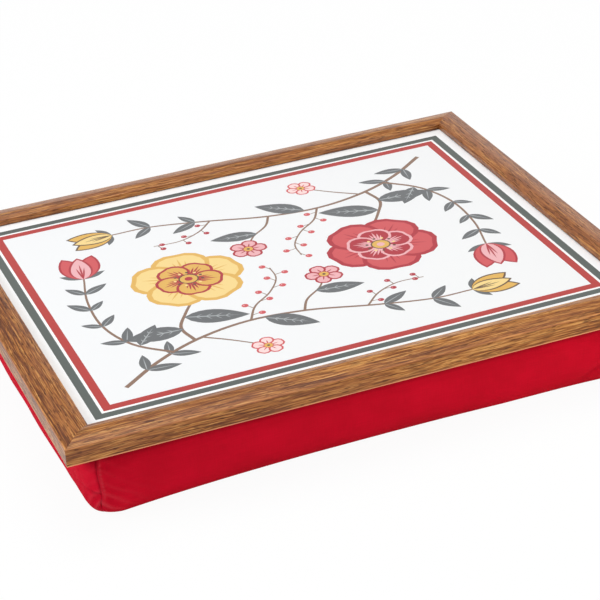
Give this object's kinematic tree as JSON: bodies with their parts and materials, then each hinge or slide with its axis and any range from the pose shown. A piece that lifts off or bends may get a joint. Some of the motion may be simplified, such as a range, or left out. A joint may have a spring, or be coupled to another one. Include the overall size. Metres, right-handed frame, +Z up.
{
  "type": "lap tray",
  "caption": "Rectangular lap tray: a mitred timber frame with a raised lip round a printed laminate board, fixed to a rounded bead-filled fabric cushion.",
  "frame": {"origin": "on the surface that the cushion stands on, under the middle of the tray", "axes": "+X along the tray's length to the right, +Y from its front edge to its back edge, +Z up"},
  "size_m": [0.44, 0.365, 0.0687],
  "materials": {
    "rail_wood": "orange-brown stained timber moulding, satin lacquer, fine dark grain along each rail",
    "laminate": "white melamine laminate with a red and a grey border stripe and a printed floral spray, smooth satin",
    "fibreboard": "plain brown fibreboard",
    "backing_paper": "plain buff paper",
    "nail_steel": "bright zinc-plated steel",
    "tape_cloth": "dark red woven binding tape",
    "strip_board": "dense brown upholstery card",
    "cover_cloth": "crimson plain-weave polycotton, matt",
    "lining_cloth": "thin undyed cotton",
    "beads": "white expanded polystyrene beads"
  },
  "bodies": {
    "root": {"front_rail": "rail_wood", "right_rail": "rail_wood", "back_rail": "rail_wood", "left_rail": "rail_wood", "corner_nails": "nail_steel", "printed_laminate": "laminate", "board_core": "fibreboard", "balancing_sheet": "backing_paper", "framing_points": "nail_steel", "hem_tape": "tape_cloth", "front_tack_strip": "strip_board", "right_tack_strip": "strip_board", "back_tack_strip": "strip_board", "left_tack_strip": "strip_board", "strip_staples": "nail_steel", "cushion_cover": "cover_cloth", "cushion_lining": "lining_cloth", "bead_filling": "beads"}
  },
  "joints": []
}
